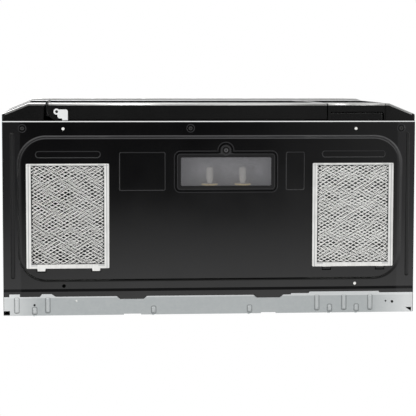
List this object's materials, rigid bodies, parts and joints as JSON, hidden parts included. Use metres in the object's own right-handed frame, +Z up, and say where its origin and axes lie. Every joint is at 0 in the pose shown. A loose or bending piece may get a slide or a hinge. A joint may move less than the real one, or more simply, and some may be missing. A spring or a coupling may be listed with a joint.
{
  "type": "over the range microwave",
  "caption": "Built-in over the range microwave oven with hinged door, turntable, vent blower, removable grease filters and a cooktop lamp in the base",
  "frame": {"origin": "middle of the underside of the whole unit", "axes": "+Z up, the door faces -Y, +X to the right of someone standing in front of the door"},
  "size_m": [0.759, 0.393, 0.417],
  "materials": {
    "galvanised_case": "zinc coated sheet, bare",
    "black_base": "gloss black enamel on pressed sheet",
    "black_case": "satin black enamel",
    "stainless": "horizontally brushed stainless",
    "black_plastic": "fine grained black moulding",
    "gloss_black": "gloss black",
    "door_glass": "dark tinted tempered glass",
    "clear_film": "clear inner film",
    "cavity_paint": "light grey cavity enamel",
    "aluminium": "bare aluminium",
    "aluminium_mesh": "layered expanded aluminium mesh",
    "frosted_glass": "frosted borosilicate glass",
    "bulb_glass": "clear halogen bulb",
    "ceramic": "white glazed lamp ceramic",
    "zinc_steel": "bright zinc plated steel",
    "copper": "enamelled copper over laminated steel",
    "circuit_board": "paper laminate circuit board with parts",
    "white_plastic": "natural white moulding",
    "dark_plastic": "black moulding",
    "mica": "pressed mica sheet",
    "tray_glass": "clear tempered glass",
    "charcoal": "granular charcoal in a plastic lattice",
    "spring_steel": "spring steel"
  },
  "bodies": {
    "case": {"back_panel": "galvanised_case", "base_plate": "black_base", "blower_housing": "galvanised_case", "blower_motor": "zinc_steel", "capacitor": "aluminium", "case_screws": "zinc_steel", "cavity_lamp": "ceramic", "charcoal_filter": "charcoal", "component_shelf": "galvanised_case", "control_board": "circuit_board", "control_glass": "gloss_black", "control_panel_frame": "black_plastic", "control_panel_skin": "stainless", "cooling_fan_motor": "zinc_steel", "cooling_fan_shroud": "galvanised_case", "cord_bush": "dark_plastic", "face_frame": "galvanised_case", "interlock_bracket": "white_plastic", "interlock_switches": "dark_plastic", "lamp_bulbs": "bulb_glass", "lamp_housing": "galvanised_case", "lamp_sockets": "ceramic", "left_trim_post": "black_plastic", "lower_hinge_bracket": "zinc_steel", "magnetron": "zinc_steel", "noise_filter": "circuit_board", "outer_wrapper": "black_case", "oven_cavity": "cavity_paint", "post_bands": "gloss_black", "post_skins": "stainless", "right_trim_post": "black_plastic", "transformer": "copper", "turntable_motor": "zinc_steel", "upper_hinge_bracket": "zinc_steel", "vent_grille": "stainless", "waveguide": "galvanised_case", "waveguide_cover": "mica"},
    "door": {"door_frame": "black_plastic", "door_skin": "stainless", "door_glass": "door_glass", "door_inner_panel": "cavity_paint", "door_inner_film": "clear_film", "door_choke_cover": "black_plastic", "latch_spring": "spring_steel"},
    "latch": {"latch_hooks": "white_plastic"},
    "turntable": {"drive_coupler": "white_plastic", "glass_tray": "tray_glass"},
    "roller_ring": {"roller_ring": "white_plastic"},
    "roller_right": {"roller_right": "white_plastic"},
    "roller_left": {"roller_left": "white_plastic"},
    "roller_front": {"roller_front": "white_plastic"},
    "blower_rotor": {"blower_wheels": "black_plastic"},
    "cooling_fan": {"cooling_fan_blade": "white_plastic"},
    "filter_left": {"filter_frame_left": "aluminium", "filter_mesh_left": "aluminium_mesh"},
    "filter_right": {"filter_frame_right": "aluminium", "filter_mesh_right": "aluminium_mesh"},
    "lamp_door": {"lamp_cover": "black_case", "lamp_glass": "frosted_glass", "lamp_cover_screw": "zinc_steel"}
  },
  "joints": [
    {"name": "door_hinge", "type": "hinge", "parent": "case", "child": "door", "pos_m": [-0.2804, -0.1804, 0.1745], "axis": [0, 0, 1], "range_deg": [-95, 0]},
    {"name": "latch_lift", "type": "slide", "parent": "door", "child": "latch", "axis": [0, 0, 1], "range_m": [0, 0.004], "stiffness_N_per_m": 400, "deforming": ["latch_spring"]},
    {"name": "turntable_spin", "type": "hinge", "parent": "case", "child": "turntable", "pos_m": [-0.035, 0.00328, 0.07], "axis": [0, 0, 1], "continuous": true},
    {"name": "ring_spin", "type": "hinge", "parent": "case", "child": "roller_ring", "pos_m": [-0.035, 0.00328, 0.0696], "axis": [0, 0, 1], "continuous": true},
    {"name": "roller_right_spin", "type": "hinge", "parent": "roller_ring", "child": "roller_right", "pos_m": [0.05619, 0.05593, 0.06955], "axis": [0.866, 0.5, 0], "continuous": true},
    {"name": "roller_left_spin", "type": "hinge", "parent": "roller_ring", "child": "roller_left", "pos_m": [-0.12619, 0.05593, 0.06955], "axis": [-0.866, 0.5, 0], "continuous": true},
    {"name": "roller_front_spin", "type": "hinge", "parent": "roller_ring", "child": "roller_front", "pos_m": [-0.035, -0.10203, 0.06955], "axis": [0, -1, 0], "continuous": true},
    {"name": "blower_spin", "type": "hinge", "parent": "case", "child": "blower_rotor", "pos_m": [0, 0.118, 0.352], "axis": [1, 0, 0], "continuous": true},
    {"name": "cooling_fan_spin", "type": "hinge", "parent": "case", "child": "cooling_fan", "pos_m": [0.288, 0.122, 0.112], "axis": [0, 1, 0], "continuous": true},
    {"name": "filter_left_slide", "type": "slide", "parent": "case", "child": "filter_left", "axis": [0, 0, -1], "range_m": [0, 0.06]},
    {"name": "filter_right_slide", "type": "slide", "parent": "case", "child": "filter_right", "axis": [0, 0, -1], "range_m": [0, 0.06]},
    {"name": "lamp_cover_hinge", "type": "hinge", "parent": "case", "child": "lamp_door", "pos_m": [0.029, -0.0349, 0.0062], "axis": [1, 0, 0], "range_deg": [0, 80]}
  ],
  "couplings": [
    {"joint": "ring_spin", "follows": "turntable_spin", "ratio": 0.5},
    {"joint": "roller_right_spin", "follows": "turntable_spin", "ratio": -7.02},
    {"joint": "roller_left_spin", "follows": "turntable_spin", "ratio": -7.02},
    {"joint": "roller_front_spin", "follows": "turntable_spin", "ratio": -7.02}
  ]
}
